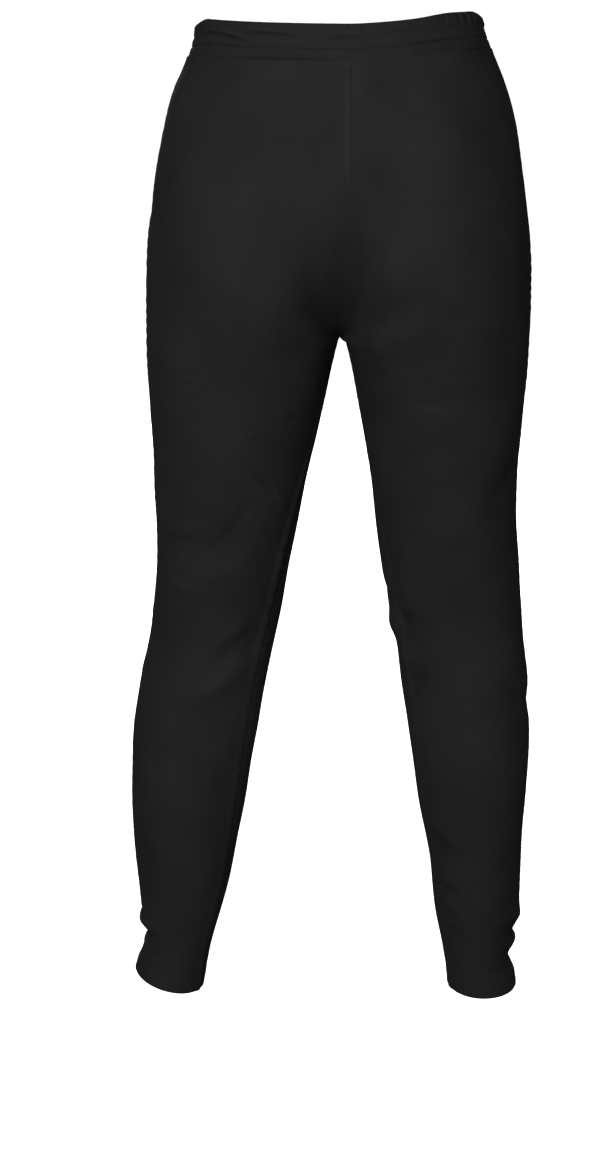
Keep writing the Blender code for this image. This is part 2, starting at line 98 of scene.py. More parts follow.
# Half widths of each leg from the middle of the body, and depths in front of and behind it
SECTIONS = table(
    "z, left_out, left_in, right_out, right_in, front, back",
    PER_METRE,
    (18, 136.2, 0, 134.2, 0, -97, 103.5),
    (0, 138, 0, 137.3, 0, -98.5, 104.5),
    (-18, 144.1, 0, 143.8, 0, -101, 107),
    (-45, 157.3, 0, 155.3, 0, -109, 113),
    (-85, 168, 0, 166.7, 0, -116, 122),
    (-130, 175.7, 0, 175, 0, -118, 131),
    (-190, 183, 0, 181.8, 0, -116, 134.5),
    (-245, 185.8, 0, 183.2, 0, -111, 125),
    (-283, 186.9, 1, 182.2, 4.8, -107, 113),
    (-310, 185.9, 7.5, 181.1, 11.2, -105, 105),
    (-345, 184.1, 14.7, 179.2, 17.6, -103, 96),
    (-425, 181.2, 32.8, 173.2, 30.6, -96, 79),
    (-507, 180.8, 48.9, 175.8, 40.2, -86, 62),
    (-570, 186.5, 60.5, 181.3, 53, -78, 53),
    (-628, 197.7, 73.1, 186.8, 61.5, -69, 57),
    (-690, 206.8, 84.7, 188, 70, -60, 66),
    (-750, 207.5, 95.5, 184.5, 79, -53, 67),
    (-810, 204.6, 106.8, 181.8, 90.5, -46, 60),
    (-865, 199.3, 120, 179.5, 96.4, -40, 53),
    (-905, 198.3, 132.5, 174.2, 104.5, -38, 51),
    (-932, 207.1, 137.5, 177.1, 108.5, -39, 53),
    (-950, 209.9, 140, 178.9, 109, -40, 54),
)

# Where the front and the back stand out furthest, as a share of the way from the inside to the outer side
FULLEST = table(
    "z, front, back",
    (PER_METRE, 1, 1),
    (18, 0.1, 0.18),
    (-85, 0.16, 0.3),
    (-190, 0.28, 0.42),
    (-283, 0.45, 0.47),
    (-345, 0.5, 0.5),
    (-950, 0.5, 0.5),
)

# How far each seam has turned towards the back on the leg, measured along the cloth
SEAM_TURNS = table(
    "z, left_side, left_inner, right_side, right_inner",
    PER_METRE,
    (18, 4, 0, 0, 0),
    (-130, 10, 0, 0, 0),
    (-283, 14, 0, 4, 0),
    (-350, 14, 14, 4, 8),
    (-450, 12, 34, 4, 22),
    (-560, 10, 38, 2, 26),
    (-700, 6, 36, 0, 24),
    (-850, 2, 24, 0, 14),
    (-945, 0, 18, 0, 10),
)

HEM_HEIGHTS = {"left": -0.934, "right": -0.941}
HEM_TILTS = {"left": 0.009, "right": 0.000}
HEM_BACK_DROP = 0.04
HEM_SLOPE_HEIGHT = 0.07
CENTRE_CURVE_TOPS = {"front": -0.165, "back": -0.130}
CREASE_HEIGHT = 0.13
CREASE_ROUNDING = 0.012
CREASE_ROUNDING_HEIGHT = 0.02
CREASE_SQUARING = 0.40

# The large folds, which the solids have too
LEFT_FOLDS = fold_table(
    # knee, behind and in front
    (20, -486, 92, -488, -4, 12, -2.2, 0),
    (80, -490, 135, -448, 8, 12, -2.2, 0),
    (25, -508, 110, -510, 6, 12, 2.8, 0),
    (150, -566, 95, -598, -6, 14, -3.4, 0),
    (135, -585, 80, -636, -6, 14, 3, 0),
    (0, -560, 60, -590, 6, 14, -2.6, 0),
    (-95, -520, -10, -500, 8, 13, -3, 0),
    (-155, -590, -50, -572, 6, 15, -3.4, 0),
    # fork and thigh, in front
    (-285, -300, -175, -262, -8, 14, -3.6, 0),
    (-255, -345, -150, -322, -6, 16, -3, 0),
    # ankle
    (-50, -866, 35, -874, 3, 8, 3, 0),
    (-65, -880, 50, -886, 4, 8, -4.6, 0),
)
RIGHT_FOLDS = fold_table(
    # under the seat and down the thigh
    (150, -236, 262, -264, -8, 15, -2.8, 0),
    (145, -272, 235, -292, -8, 18, 2.4, 0),
    (60, -330, 170, -322, 6, 14, -2.4, 0),
    (25, -400, 85, -428, 6, 16, -3.4, 0),
    (-290, -296, -185, -268, -6, 14, -3.8, 0),
    (-250, -330, -140, -316, -8, 16, -2.8, 0),
    # knee, behind and in front
    (175, -486, 215, -515, 4, 12, -3.6, 0),
    (125, -560, 190, -572, 4, 13, -3, 0),
    (120, -600, 185, -586, 6, 14, 2.8, 0),
    (-30, -648, 65, -630, 6, 13, -2.4, 0),
    (-120, -530, -20, -512, 8, 13, -3.2, 0),
    (-140, -585, -35, -594, 6, 15, -3, 0),
    # calf and ankle
    (75, -802, 140, -780, 4, 14, -2.2, 0),
    (-45, -866, 55, -862, 4, 9, 2.6, 0),
    (-55, -882, 55, -878, 3, 7, -3, 0),
    (-50, -892, 40, -888, 3, 7, 3, 0),
    (-60, -912, 50, -906, 3, 10, -4, 0),
)
FOLDS = {"left": LEFT_FOLDS, "right": RIGHT_FOLDS}

FOLD_END = 0.15
BESIDE_AT = 2.0  # place and width of the ridge beside a trough, in widths of the trough
BESIDE_WIDTH = 1.3
FOLD_FADE = 0.04
FOLD_FADE_HEIGHT = 0.02

GATHERS = 60
GATHER_DEPTH = 0.0011
GATHER_AT_BACK = 0.22
GATHER_AT_SEAM = 0.40

# Finer creases, which only the cloth here has
LEFT_CREASES = fold_table(
    # seat, fork and thigh, behind
    (205, -240, 262, -272, -6, 9, -1.2, 0.4),
    (150, -292, 235, -288, -6, 10, -0.9, 0.3),
    (185, -350, 201, -353, 0, 2.4, -1.2, 0.25),
    (140, -368, 161, -371, 0, 2.4, -1.1, 0.25),
    (82, -303, 100, -305, 1, 2.4, -1.1, 0.25),
    (84, -313, 98, -314, 1, 2.4, -1.1, 0.25),
    # back of the knee
    (15, -481, 100, -474, -5, 4.5, -0.6, 0.6),
    (84, -482, 136, -430, 6, 5, -0.9, 0.6),
    (58, -461, 104, -450, 3, 6, 0.8, 0),
    (94, -507, 136, -478, 4, 7, 1, 0),
    (38, -500, 106, -514, 4, 5, -0.8, 0.5),
    (110, -452, 146, -424, 3, 3.5, -0.6, 0.5),
    # inside of the thigh and knee
    (138, -395, 180, -432, 3, 6, -1.2, 0.5),
    (164, -412, 183, -450, 2, 4.5, 1.4, 0),
    (148, -455, 177, -492, 3, 5, -1, 0.5),
    (160, -470, 179, -512, 2, 4, 1.1, 0),
    (144, -520, 162, -560, 2, 5, -0.9, 0.4),
    # calf
    (140, -552, 94, -588, -5, 6, -1.1, 0.6),
    (128, -575, 86, -634, -4, 8, 1.2, 0),
    (-8, -546, 16, -556, 2, 3.5, -0.9, 0.5),
    (-4, -571, 22, -583, 2, 4, -0.8, 0.5),
    (-10, -597, 20, -612, 3, 4, -0.9, 0.5),
    (48, -681, 86, -684, 1, 3.2, -0.5, 0.3),
    (58, -791, 74, -792, 0, 2.8, -0.5, 0.3),
    (112, -700, 140, -724, 2, 7, -0.6, 0.3),
    # ankle
    (-40, -857, 30, -862, 2, 4, -0.9, 0.5),
    (-45, -893, 36, -899, 2, 5, 0.9, 0),
    (12, -906, 58, -892, 2, 6, -0.8, 0.4),
    (50, -878, 96, -868, 2, 6, -0.6, 0.4),
    # front
    (-270, -276, -190, -232, -6, 7, -1.5, 0.6),
    (-262, -255, -200, -204, -6, 6, -0.9, 0.5),
    (-266, -305, -170, -290, -5, 6.5, -1.3, 0.5),
    (-235, -330, -140, -318, -4, 8, -1, 0.5),
    (-204, -352, -120, -362, 4, 7, -0.7, 0.4),
    (-152, -330, -120, -442, 6, 16, -1, 0),
    (-160, -498, -66, -512, 5, 6, -1.1, 0.5),
    (-124, -540, -40, -529, 4, 5, -0.9, 0.5),
    (-178, -556, -92, -585, 5, 6, -1.2, 0.6),
    (-134, -604, -60, -613, 4, 5, -0.8, 0.5),
    (-196, -520, -160, -548, 3, 5, -0.8, 0.4),
    (-120, -700, -80, -742, 5, 10, -0.6, 0.2),
    (-112, -862, -36, -868, 3, 4.5, -0.9, 0.5),
    (-122, -884, -50, -879, 3, 5, -1, 0.5),
    (-100, -905, -40, -909, 2, 4.5, -0.8, 0.5),
    (-205, -60, -120, -68, 3, 9, -0.6, 0.3),
    (-60, -148, 30, -160, 4, 10, -0.6, 0.3),
)
RIGHT_CREASES = fold_table(
    # under the seat
    (176, -247, 272, -279, -8, 6, -0.6, 0.4),
    (172, -262, 240, -284, -6, 11, 0.8, 0),
    (118, -250, 165, -238, 3, 6, -0.7, 0.3),
    (202, -276, 226, -288, 0, 12, 1.2, 0),
    (128, -303, 143, -304, 0, 2.4, -1.3, 0.25),
    (154, -309, 168, -311, 0, 2.4, -1.2, 0.25),
    (140, -331, 166, -334, 1, 2.4, -1.1, 0.25),
    (142, -346, 156, -347, 0, 2.4, -1, 0.25),
    (77, -382, 96, -381, 0, 2.4, -1, 0.25),
    (28, -406, 76, -397, 3, 8.5, -0.5, 0.4),
    (40, -425, 70, -430, 2, 5, -0.7, 0.4),
    # inside of the knee
    (177, -468, 191, -516, 2, 4, 1.3, 0),
    (164, -474, 186, -506, 3, 5, -0.9, 0.3),
    (148, -547, 174, -560, 2, 6, -1.3, 0.5),
    (-250, -560, -185, -576, 0, 12, 4, 0),
    (-250, -532, -190, -536, 0, 7, -1.2, 0),
    (154, -568, 174, -580, 2, 5, -1.1, 0.5),
    (148, -584, 172, -602, 3, 7, 1.3, 0),
    (138, -605, 166, -634, 3, 6, -0.8, 0.4),
    (90, -470, 130, -482, 3, 9, -0.7, 0.3),
    # calf and ankle
    (18, -640, 70, -611, 4, 6, -0.6, 0.4),
    (6, -622, 42, -606, 3, 4.5, -0.6, 0.4),
    (144, -771, 104, -791, 3, 4.5, -0.8, 0.5),
    (136, -828, 90, -837, 3, 4.2, -0.9, 0.5),
    (124, -852, 84, -869, 3, 5, -0.9, 0.5),
    (118, -870, 72, -887, 3, 5, -0.8, 0.4),
    (-35, -872, 46, -870, 2, 3.5, -0.9, 0.5),
    (-30, -886, 40, -884, 2, 3, -0.8, 0.4),
    (-40, -900, 46, -897, 2, 4, 0.8, 0),
    (20, -917, 72, -905, 2, 5.5, -0.7, 0.4),
    # front
    (-266, -272, -180, -240, -7, 7, -1.4, 0.6),
    (-268, -300, -185, -297, -4, 6, -1.2, 0.5),
    (-258, -247, -214, -206, -4, 6, -0.9, 0.4),
    (-240, -338, -150, -317, -5, 8, -1, 0.5),
    (-190, -364, -104, -350, 4, 7, -0.7, 0.4),
    (-150, -340, -128, -452, -6, 17, -1, 0),
    (-138, -505, -50, -496, 5, 5.5, -1, 0.5),
    (-170, -532, -86, -548, 5, 6, -1.2, 0.6),
    (-120, -572, -36, -560, 4, 5, -0.8, 0.5),
    (-160, -600, -80, -618, 5, 6, -0.9, 0.5),
    (-100, -715, -70, -760, -4, 10, -0.6, 0.2),
    (-118, -858, -44, -866, 3, 4.5, -0.8, 0.5),
    (-104, -879, -30, -882, 3, 5, -1, 0.5),
    (-116, -899, -46, -894, 2, 5, -0.9, 0.5),
    (-190, -70, -110, -62, 3, 9, -0.6, 0.3),
    (-70, -186, 24, -198, 4, 10, -0.6, 0.3),
)
CREASES = {"left": LEFT_CREASES, "right": RIGHT_CREASES}

# The cloth and its sewing

SHEET = 0.001
HEM_SHEET = 0.0019
HEM_TURN = 0.020
ROW_STEP = 0.003
NEAR_BAND_STEP = 0.001  # between the rows that show the small puckers below the band
NEAR_BAND_END = -0.045
TRUNK_ROWS = 92
EVEN_ROWS = 0.3
ARCH_ROWS = 12
# Columns beside each seam, as distances from it, then even ones to half way across and to the next seam
SEAM_COLUMNS = np.array((0.0, 0.0004, 0.0009, 0.0016, 0.0026, 0.0040))
PANEL_COLUMNS = {"front": (28, 32), "back": (32, 36)}  # from the inseam to half way, and on

SEAM_DIP = 0.0007
SEAM_DIP_WIDTH = 0.0014
CENTRE_DIP_SHARE = 0.12
CENTRE_DIP_AT_BAND = 0.75
CENTRE_DIP_TURN = -0.034
CENTRE_DIP_TURN_HEIGHT = 0.006
# A strip has a rise at the seam, a width and a fall past it.
ALLOWANCE_STRIP = (0.003, 0.010, 0.004)  # allowances pressed open under the cloth
ALLOWANCE_RISE = 0.00025
INSEAM_STEPS = {"left": 0.0015, "right": 0.0010}  # its allowances are pressed behind the back panel
INSEAM_BACK_STRIP = (0.0012, 0.007, 0.006)
INSEAM_FRONT_STRIP = (0.0012, 0.004, 0.012)
INSEAM_FRONT_SHARE = 0.5
INSEAM_STEP_Z = {"left": -0.47, "right": -0.56}
INSEAM_STEP_HEIGHT = 0.09
INSEAM_STEP_LEAST = 0.35
PUCKER_PITCH = 0.0115
PUCKER_REACH = 0.011
PUCKER_DEPTH = 0.0006
PUCKER_TURNS = {"left": 0.0, "right": 2.1}
# Puckers are strongest beside the seat and the thigh, and at the inseam round the knee: height and reach.
PUCKER_HIP = (-0.25, 0.11)
PUCKER_KNEE = (-0.53, 0.10)
CENTRE_FLAP_STRIP = (0.0012, 0.0042, 0.0014)  # the centre-back allowance, pressed to the wearer's left
CENTRE_FLAP_RISE = 0.0007
CENTRE_FLAP_END = -0.130
CENTRE_FLAP_FADE = 0.035
CENTRE_FLAP_LEAST = 0.10
CENTRE_FLAP_TOP = -0.040
CENTRE_FLAP_TOP_FADE = 0.012
SEAT_HOLLOW = 0.0034
SEAT_HOLLOW_Z = -0.208
SEAT_HOLLOW_HEIGHT = 0.070
SEAT_HOLLOW_WIDTH = 0.016
# height, half height, reach from the seam and depth of the puckers at the top of the centre-back seam
CENTRE_PUCKERS = (
    (-0.0235, 0.0016, 0.011, 0.0012),
    (-0.0300, 0.0018, 0.018, 0.0009),
    (-0.0385, 0.0022, 0.012, 0.0006),
    (-0.0520, 0.0030, 0.010, 0.0004),
)
PAINTED_EDGE_HIGHLIGHT = 0.0026  # painted highlight: how much lighter the raised centre strip and the inseam's edge are coloured, as a height in the relief
# Heights round which the painted highlight along each leg's inseam is strongest
INSEAM_HIGHLIGHT_Z = {"left": -0.462, "right": -0.488}
DRIFT_DEPTH = 0.0007
BELOW_BAND_DEPTH = 0.0006
BELOW_BAND_REACH = 0.018
BELOW_BAND_PITCH = 0.0125
HEM_LINE_DROP = 0.002  # from the turned-up edge down to its stitches
HEM_LINE_DEPTH = 0.0005
HEM_LINE_WIDTH = 0.0013
HEM_ROLL = (-0.006, 0.005)  # height from the stitches and width of the swell below them
HEM_ROLL_RISE = 0.0002
HEM_ROPE_PITCH = 0.0115
# A painted highlight along the back panel's edge at the inseam: its distance from the inseam's end, its
# width and its half height
HIGHLIGHT_FROM_INSEAM = 0.0022
HIGHLIGHT_WIDTH = 0.0012
HIGHLIGHT_HEIGHT = 0.032
SHARP_DEGREES = 55


def smooth(t):
    """0 to 1 with no corner at either end."""
    t = np.clip(t, 0.0, 1.0)
    return t * t * (3 - 2 * t)


def bump(value, middle, width):
    """1 at the middle, and less on both sides of it."""
    return np.exp(-(((value - middle) / width) ** 2))


def strip(distance, rise, width, fall):
    """1 on a strip beside a seam, which rises at the seam and falls off past its width."""
    return smooth(distance / rise) * (1 - smooth((distance - width) / fall))


def read(rows, column, z):
    """A column of a table at heights z, on a smooth curve through its rows."""
    at, value = rows["z"][::-1], rows[column][::-1]
    slope = np.gradient(value, at)
    i = np.clip(np.searchsorted(at, z) - 1, 0, len(at) - 2)
    step = at[i + 1] - at[i]
    t = np.clip((z - at[i]) / step, 0.0, 1.0)
    return (
        (2 * t**3 - 3 * t**2 + 1) * value[i]
        + (t**3 - 2 * t**2 + t) * step * slope[i]
        + (3 * t**2 - 2 * t**3) * value[i + 1]
        + (t**3 - t**2) * step * slope[i + 1]
    )


def inner_distance(leg, z):
    """How far the inside of a leg is from the middle: nothing down to the fork, then an arch."""
    arch = np.sqrt(np.clip((FORK_Z - z) / FORK_ARCH, 0.0, 1.0))
    return arch * read(SECTIONS, leg + "_in", np.minimum(z, FORK_Z))


def centre_depth(face, z, middle):
    """Depth of the centre seam: with the body's widest depth above, curving under to the fork."""
    top = CENTRE_CURVE_TOPS[face]
    turn = np.clip((top - z) / (top - FORK_Z), 0.0, 1.0)
    return middle + (read(SECTIONS, face, z) - middle) * np.sqrt(1 - turn**2)


def unit(vectors):
    return vectors / np.linalg.norm(vectors, axis=-1, keepdims=True)


def pairs(x, y):
    """One point for each row."""
    return np.stack([x, y], axis=1)


def corner(a, b, c, d, t):
    """A cubic curve through a and d with handles b and c; a to d hold one point for each row."""
    a, b, c, d = (p[:, None, :] for p in (a, b, c, d))
    t = t[None, :, None]
    return (1 - t) ** 3 * a + 3 * t * (1 - t) ** 2 * b + 3 * t**2 * (1 - t) * c + t**3 * d


def sections(leg, z):
    """One leg's outline at heights z, as (row, point, xy), and the index of its side point.

    It runs from the inside by the front, the outer side and the back to the inside again.
    Down to the fork it is half of the body's outline, open at the middle.
    """
    z = np.asarray(z, float)
    inner, outer = read(SECTIONS, leg + "_in", z), read(SECTIONS, leg + "_out", z)
    depths = {face: read(SECTIONS, face, z) for face in ("front", "back")}
    shift = smooth((SIDE_SHIFT_TOP - z) / SIDE_SHIFT_HEIGHT)
    middle = (depths["front"] + depths["back"]) / 2 * shift
    side = pairs(outer, middle)
    t = np.linspace(0.0, 1.0, OUTLINE_STEPS + 1)
    above = smooth((z - FORK_Z) / CREASE_HEIGHT)
    runs = {}
    for face, sign in (("front", -1), ("back", 1)):
        depth, end = depths[face], centre_depth(face, z, middle)
        full = inner + (outer - inner) * read(FULLEST, face, z)
        fullest, inside, centre = pairs(full, depth), pairs(inner, middle), pairs(inner, end)
        flat = pairs((full - inner) * ROUNDNESS, 0 * z)
        tall = pairs(0 * z, (depth - middle) * ROUNDNESS)
        wide = pairs((outer - full) * ROUNDNESS, 0 * z)
        squarer = (1 + CREASE_SQUARING / ROUNDNESS * above)[:, None]
        # A round leg at the fork runs into the body's flat middle above it.
        as_leg = corner(inside, inside + tall * squarer, fullest - flat * squarer, fullest, t)
        as_body = corner(centre, centre + flat, fullest - flat, fullest, t)
        inner_run = as_leg + (as_body - as_leg) * above[:, None, None]
        # The cloth bridges the crease between the legs at the depth of the centre seam.
        bridge, outward = end[:, None] * sign, inner_run[..., 1] * sign
        near_fork = smooth((z - FORK_Z) / CREASE_ROUNDING_HEIGHT)
        rounding = (CREASE_ROUNDING * (1 - above) * near_fork)[:, None]
        bridged = (outward + bridge + np.sqrt((outward - bridge) ** 2 + rounding**2)) / 2
        inner_run[..., 1] = np.where(z[:, None] > FORK_Z, bridged, outward) * sign
        from_inside = inner_run[..., 0] - inner[:, None]
        arched = (inner_distance(leg, z) - inner)[:, None]
        inner_run[..., 0] += arched * np.exp(-from_inside / FORK_ARCH_REACH)
        inner_run[..., 0] = np.maximum(inner_run[..., 0], 0.0)
        runs[face] = (inner_run, corner(fullest, fullest + wide, side + tall, side, t))
    (front_in, front_out), (back_in, back_out) = runs["front"], runs["back"]
    outline = np.concatenate(
        [front_in[:, :-1], front_out[:, :-1], back_out[:, ::-1][:, :-1], back_in[:, ::-1]], axis=1
    )
    return outline, 2 * OUTLINE_STEPS


def along(outline):
    """Distance along each row's outline."""
    step = np.linalg.norm(np.diff(outline, axis=1), axis=2)
    return np.concatenate([np.zeros((len(outline), 1)), np.cumsum(step, axis=1)], axis=1)


def on_line(at, distance, line):
    """Points of a line at given distances along it."""
    return np.stack([np.interp(at, distance, line[:, axis]) for axis in range(line.shape[1])], axis=-1)


def from_seam(start, end, count):
    """Column places from a seam at start to end: close together beside the seam, then even."""
    near = start + SEAM_COLUMNS
    return np.concatenate([near, np.linspace(near[-1], end, count + 1)[1:]])


def to_seam(start, end, count):
    """The same towards a seam at end."""
    return start + end - from_seam(start, end, count)[::-1]


def cloth_grid(leg, z):
    """Points of one leg's cloth as (row, column, xyz), each column's distance from the side seam, and
    the side seam's column. Columns run from the inseam by the front to the side seam and by the back
    to the inseam again."""
    outline, side = sections(leg, z)
    distance = along(outline)
    total = distance[:, -1]
    side_turn = read(SEAM_TURNS, leg + "_side", z)
    inner_turn = np.where(z <= FORK_Z, read(SEAM_TURNS, leg + "_inner", z), 0.0)
    half_way = (inner_distance(leg, z) + read(SECTIONS, leg + "_out", z)) / 2
    (front_in, front_out), (back_out, back_in) = PANEL_COLUMNS["front"], PANEL_COLUMNS["back"][::-1]
    beside = 4 * (len(SEAM_COLUMNS) - 1)
    grid = np.zeros((len(z), front_in + front_out + back_out + back_in + beside + 1, 3))
    spread = np.zeros(grid.shape[:2])
    for row in range(len(z)):
        to_front = np.interp(half_way[row], outline[row, :side, 0], distance[row, :side])
        to_back = np.interp(-half_way[row], -outline[row, side:, 0], distance[row, side:])
        seam = distance[row, side] + side_turn[row]
        first, last = -inner_turn[row], total[row] - inner_turn[row]
        at = np.concatenate(
            [
                from_seam(first, to_front, front_in)[:-1],
                to_seam(to_front, seam, front_out)[:-1],
                from_seam(seam, to_back, back_out)[:-1],
                to_seam(to_back, last, back_in),
            ]
        )
        wrapped = np.concatenate([distance[row, :-1] - total[row], distance[row]])
        grid[row, :, :2] = on_line(at, wrapped, np.concatenate([outline[row, :-1], outline[row]]))
        grid[row, :, 2] = z[row]
        spread[row] = at - seam
    return grid, spread, front_in + front_out + beside // 2


def normals(grid, closed):
    """Outward unit normals. closed marks the rows whose first and last columns are one point, and
    the other rows end at the middle of the body, where the two legs' cloth is level."""
    across = np.gradient(grid, axis=1)
    down = np.gradient(grid, axis=0)
    joined = (grid[:, 1] - grid[:, -2]) / 2
    level = np.array([1.0, 0.0, 0.0])
    across[:, 0] = np.where(closed[:, None], joined, level)
    across[:, -1] = np.where(closed[:, None], joined, -level)
    normal = unit(np.cross(down, across))
    normal[closed, 0] = normal[closed, -1] = unit(normal[closed, 0] + normal[closed, -1])
    return normal


def one_fold(fold, spread, z):
    """How far one fold stands out at each point."""
    start = np.array([fold["start_along"], fold["start_z"]])
    run = np.array([fold["end_along"], fold["end_z"]]) - start
    length = np.linalg.norm(run)
    run /= length
    over, up = spread - start[0], z - start[1]
    share = (over * run[0] + up * run[1]) / length
    aside = over * run[1] - up * run[0]
    bow = fold["bow"] * np.sin(math.pi * np.clip(share, 0.0, 1.0))
    taper = smooth((1 + FOLD_END) * (1 - np.abs(2 * share - 1)) + FOLD_END)
    across = (aside - bow) / fold["width"]
    profile = bump(across, 0, 1) - fold["beside"] * bump(across, BESIDE_AT, BESIDE_WIDTH)
    return fold["depth"] * taper * profile


def fold_height(folds, spread, z):
    """How far the cloth stands out because of folds, which run on across a leg's inseam but fade
    towards the middle of the body."""
    round_leg = spread[:, -1:] - spread[:, :1]
    on_leg = smooth((FORK_Z - z[:, :1]) / FOLD_FADE_HEIGHT)
    height = np.zeros_like(spread)
    for fold in folds:
        height += one_fold(fold, spread, z)
        for lap in (-round_leg, round_leg):
            height += on_leg * one_fold(fold, spread + lap, z)
    to_middle = np.minimum(spread - spread[:, :1], spread[:, -1:] - spread)
    return height * np.maximum(on_leg, smooth(to_middle / FOLD_FADE))


def seam_height(leg, spread, z):
    """Seams: the cloth turns in at the stitching, lies over the pressed allowances and puckers."""
    to_front_end, to_back_end = spread - spread[:, :1], spread[:, -1:] - spread
    to_ends = np.minimum(to_front_end, to_back_end)
    to_side = np.abs(spread)
    on_leg = smooth((FORK_Z - z) / FOLD_FADE_HEIGHT)
    dip = bump(to_side, 0, SEAM_DIP_WIDTH)
    near_band = smooth((z - CENTRE_DIP_TURN) / CENTRE_DIP_TURN_HEIGHT)
    share = CENTRE_DIP_SHARE + (1 - CENTRE_DIP_SHARE) * np.maximum(on_leg, CENTRE_DIP_AT_BAND * near_band)
    dip += share * bump(to_ends, 0, SEAM_DIP_WIDTH)
    height = -SEAM_DIP * dip
    height += ALLOWANCE_RISE * strip(np.minimum(to_ends, to_side), *ALLOWANCE_STRIP)
    step = strip(to_back_end, *INSEAM_BACK_STRIP)
    step -= INSEAM_FRONT_SHARE * strip(to_front_end, *INSEAM_FRONT_STRIP)
    at_step = bump(z, INSEAM_STEP_Z[leg], INSEAM_STEP_HEIGHT)
    height += INSEAM_STEPS[leg] * on_leg * step * (INSEAM_STEP_LEAST + (1 - INSEAM_STEP_LEAST) * at_step)
    turn = PUCKER_TURNS[leg]
    phase = z / PUCKER_PITCH + 0.45 * np.sin(41 * z + turn) + 0.3 * np.sin(97 * z + 2 * turn)
    reach = PUCKER_REACH * (1 + 0.45 * np.sin(61 * z + turn))
    lean = 0.25 * np.sin(23 * z)
    at_side = 0.20 + 0.30 * bump(z, *PUCKER_HIP)
    at_ends = 0.15 + 0.7 * bump(z, *PUCKER_KNEE)
    for near, strength, shift in ((to_side, at_side, 0.0), (to_ends, at_ends, 0.4)):
        wave = np.sin(2 * math.pi * (phase + shift + lean * near / reach))
        height += PUCKER_DEPTH * strength * wave * bump(near, 0, reach)
    return height


def centre_strip(leg, spread, z):
    """The centre-back allowance: a narrow raised strip on the wearer's left of the seam, 0 to 1. It also
    places the strip's painted highlight.
    """
    to_centre = spread[:, -1:] - spread
    above = smooth((z - FORK_Z - 0.02) / 0.03)
    below_top = 1 - 0.6 * smooth((z - CENTRE_FLAP_TOP) / CENTRE_FLAP_TOP_FADE)
    shown = smooth((z - CENTRE_FLAP_END) / CENTRE_FLAP_FADE) * below_top
    shown = CENTRE_FLAP_LEAST + (1 - CENTRE_FLAP_LEAST) * shown
    return strip(to_centre, *CENTRE_FLAP_STRIP) * shown * above * (leg == "left")


def centre_back_height(leg, spread, z):
    """The hollow of the seat, the raised strip, and puckers where the seam is caught in the band."""
    to_centre = spread[:, -1:] - spread
    hollow = bump(z, SEAT_HOLLOW_Z, SEAT_HOLLOW_HEIGHT) * bump(to_centre, 0, SEAT_HOLLOW_WIDTH)
    height = CENTRE_FLAP_RISE * centre_strip(leg, spread, z) - SEAT_HOLLOW * hollow
    if leg == "left":
        for at, width, reach, depth in CENTRE_PUCKERS:
            height -= depth * bump(z, at, width) * bump(to_centre, 0, reach)
    return height


def below_band_height(grid, spread):
    """Short gathers that run down from the waistband, strongest at the sides and in front."""
    to_side = np.clip(np.abs(grid[..., 0]) / WAIST_HALF_WIDTH, 0.0, 1.0)
    behind = smooth(grid[..., 1] / 0.06)
    strength = (1 - behind) + behind * (0.15 + 0.5 * to_side**3)
    reach = BELOW_BAND_REACH * (1 + 0.4 * np.sin(83 * spread))
    phase = spread / BELOW_BAND_PITCH + 0.5 * np.sin(31 * spread) + 0.25 * np.sin(72 * spread)
    wave = np.sin(2 * math.pi * phase)
    return BELOW_BAND_DEPTH * strength * wave * np.exp((grid[..., 2] - BAND_BOTTOM) / reach)


def drift_height(leg, spread, z):
    """Broad, shallow unevenness of cloth that hangs over a figure."""
    turn = {"left": 0.7, "right": 2.9}[leg]
    wave = (
        np.sin(47 * spread + 29 * z + turn)
        + 0.8 * np.sin(-33 * spread + 58 * z + 2.3 * turn)
        + 0.5 * np.sin(88 * spread - 41 * z + 1.7 * turn)
        + 0.4 * np.sin(61 * spread + 103 * z + 3.1 * turn)
    )
    to_ends = np.minimum(spread - spread[:, :1], spread[:, -1:] - spread)
    return DRIFT_DEPTH * wave / 2 * smooth(to_ends / 0.03)


def hem_height(leg, spread, z):
    """The stitched upper edge of the turned-up hem, drawn in a little between the stitches."""
    above = z - HEM_HEIGHTS[leg] - HEM_TURN + HEM_LINE_DROP
    # It ropes: small slanting ridges run across it.
    phase = spread / HEM_ROPE_PITCH + 0.8 * above / 0.01 + 0.4 * np.sin(50 * spread)
    rope = 1 + 0.35 * np.sin(2 * math.pi * phase)
    line = -HEM_LINE_DEPTH * bump(above, 0, HEM_LINE_WIDTH) * rope
    return line + HEM_ROLL_RISE * rope * bump(above, *HEM_ROLL)


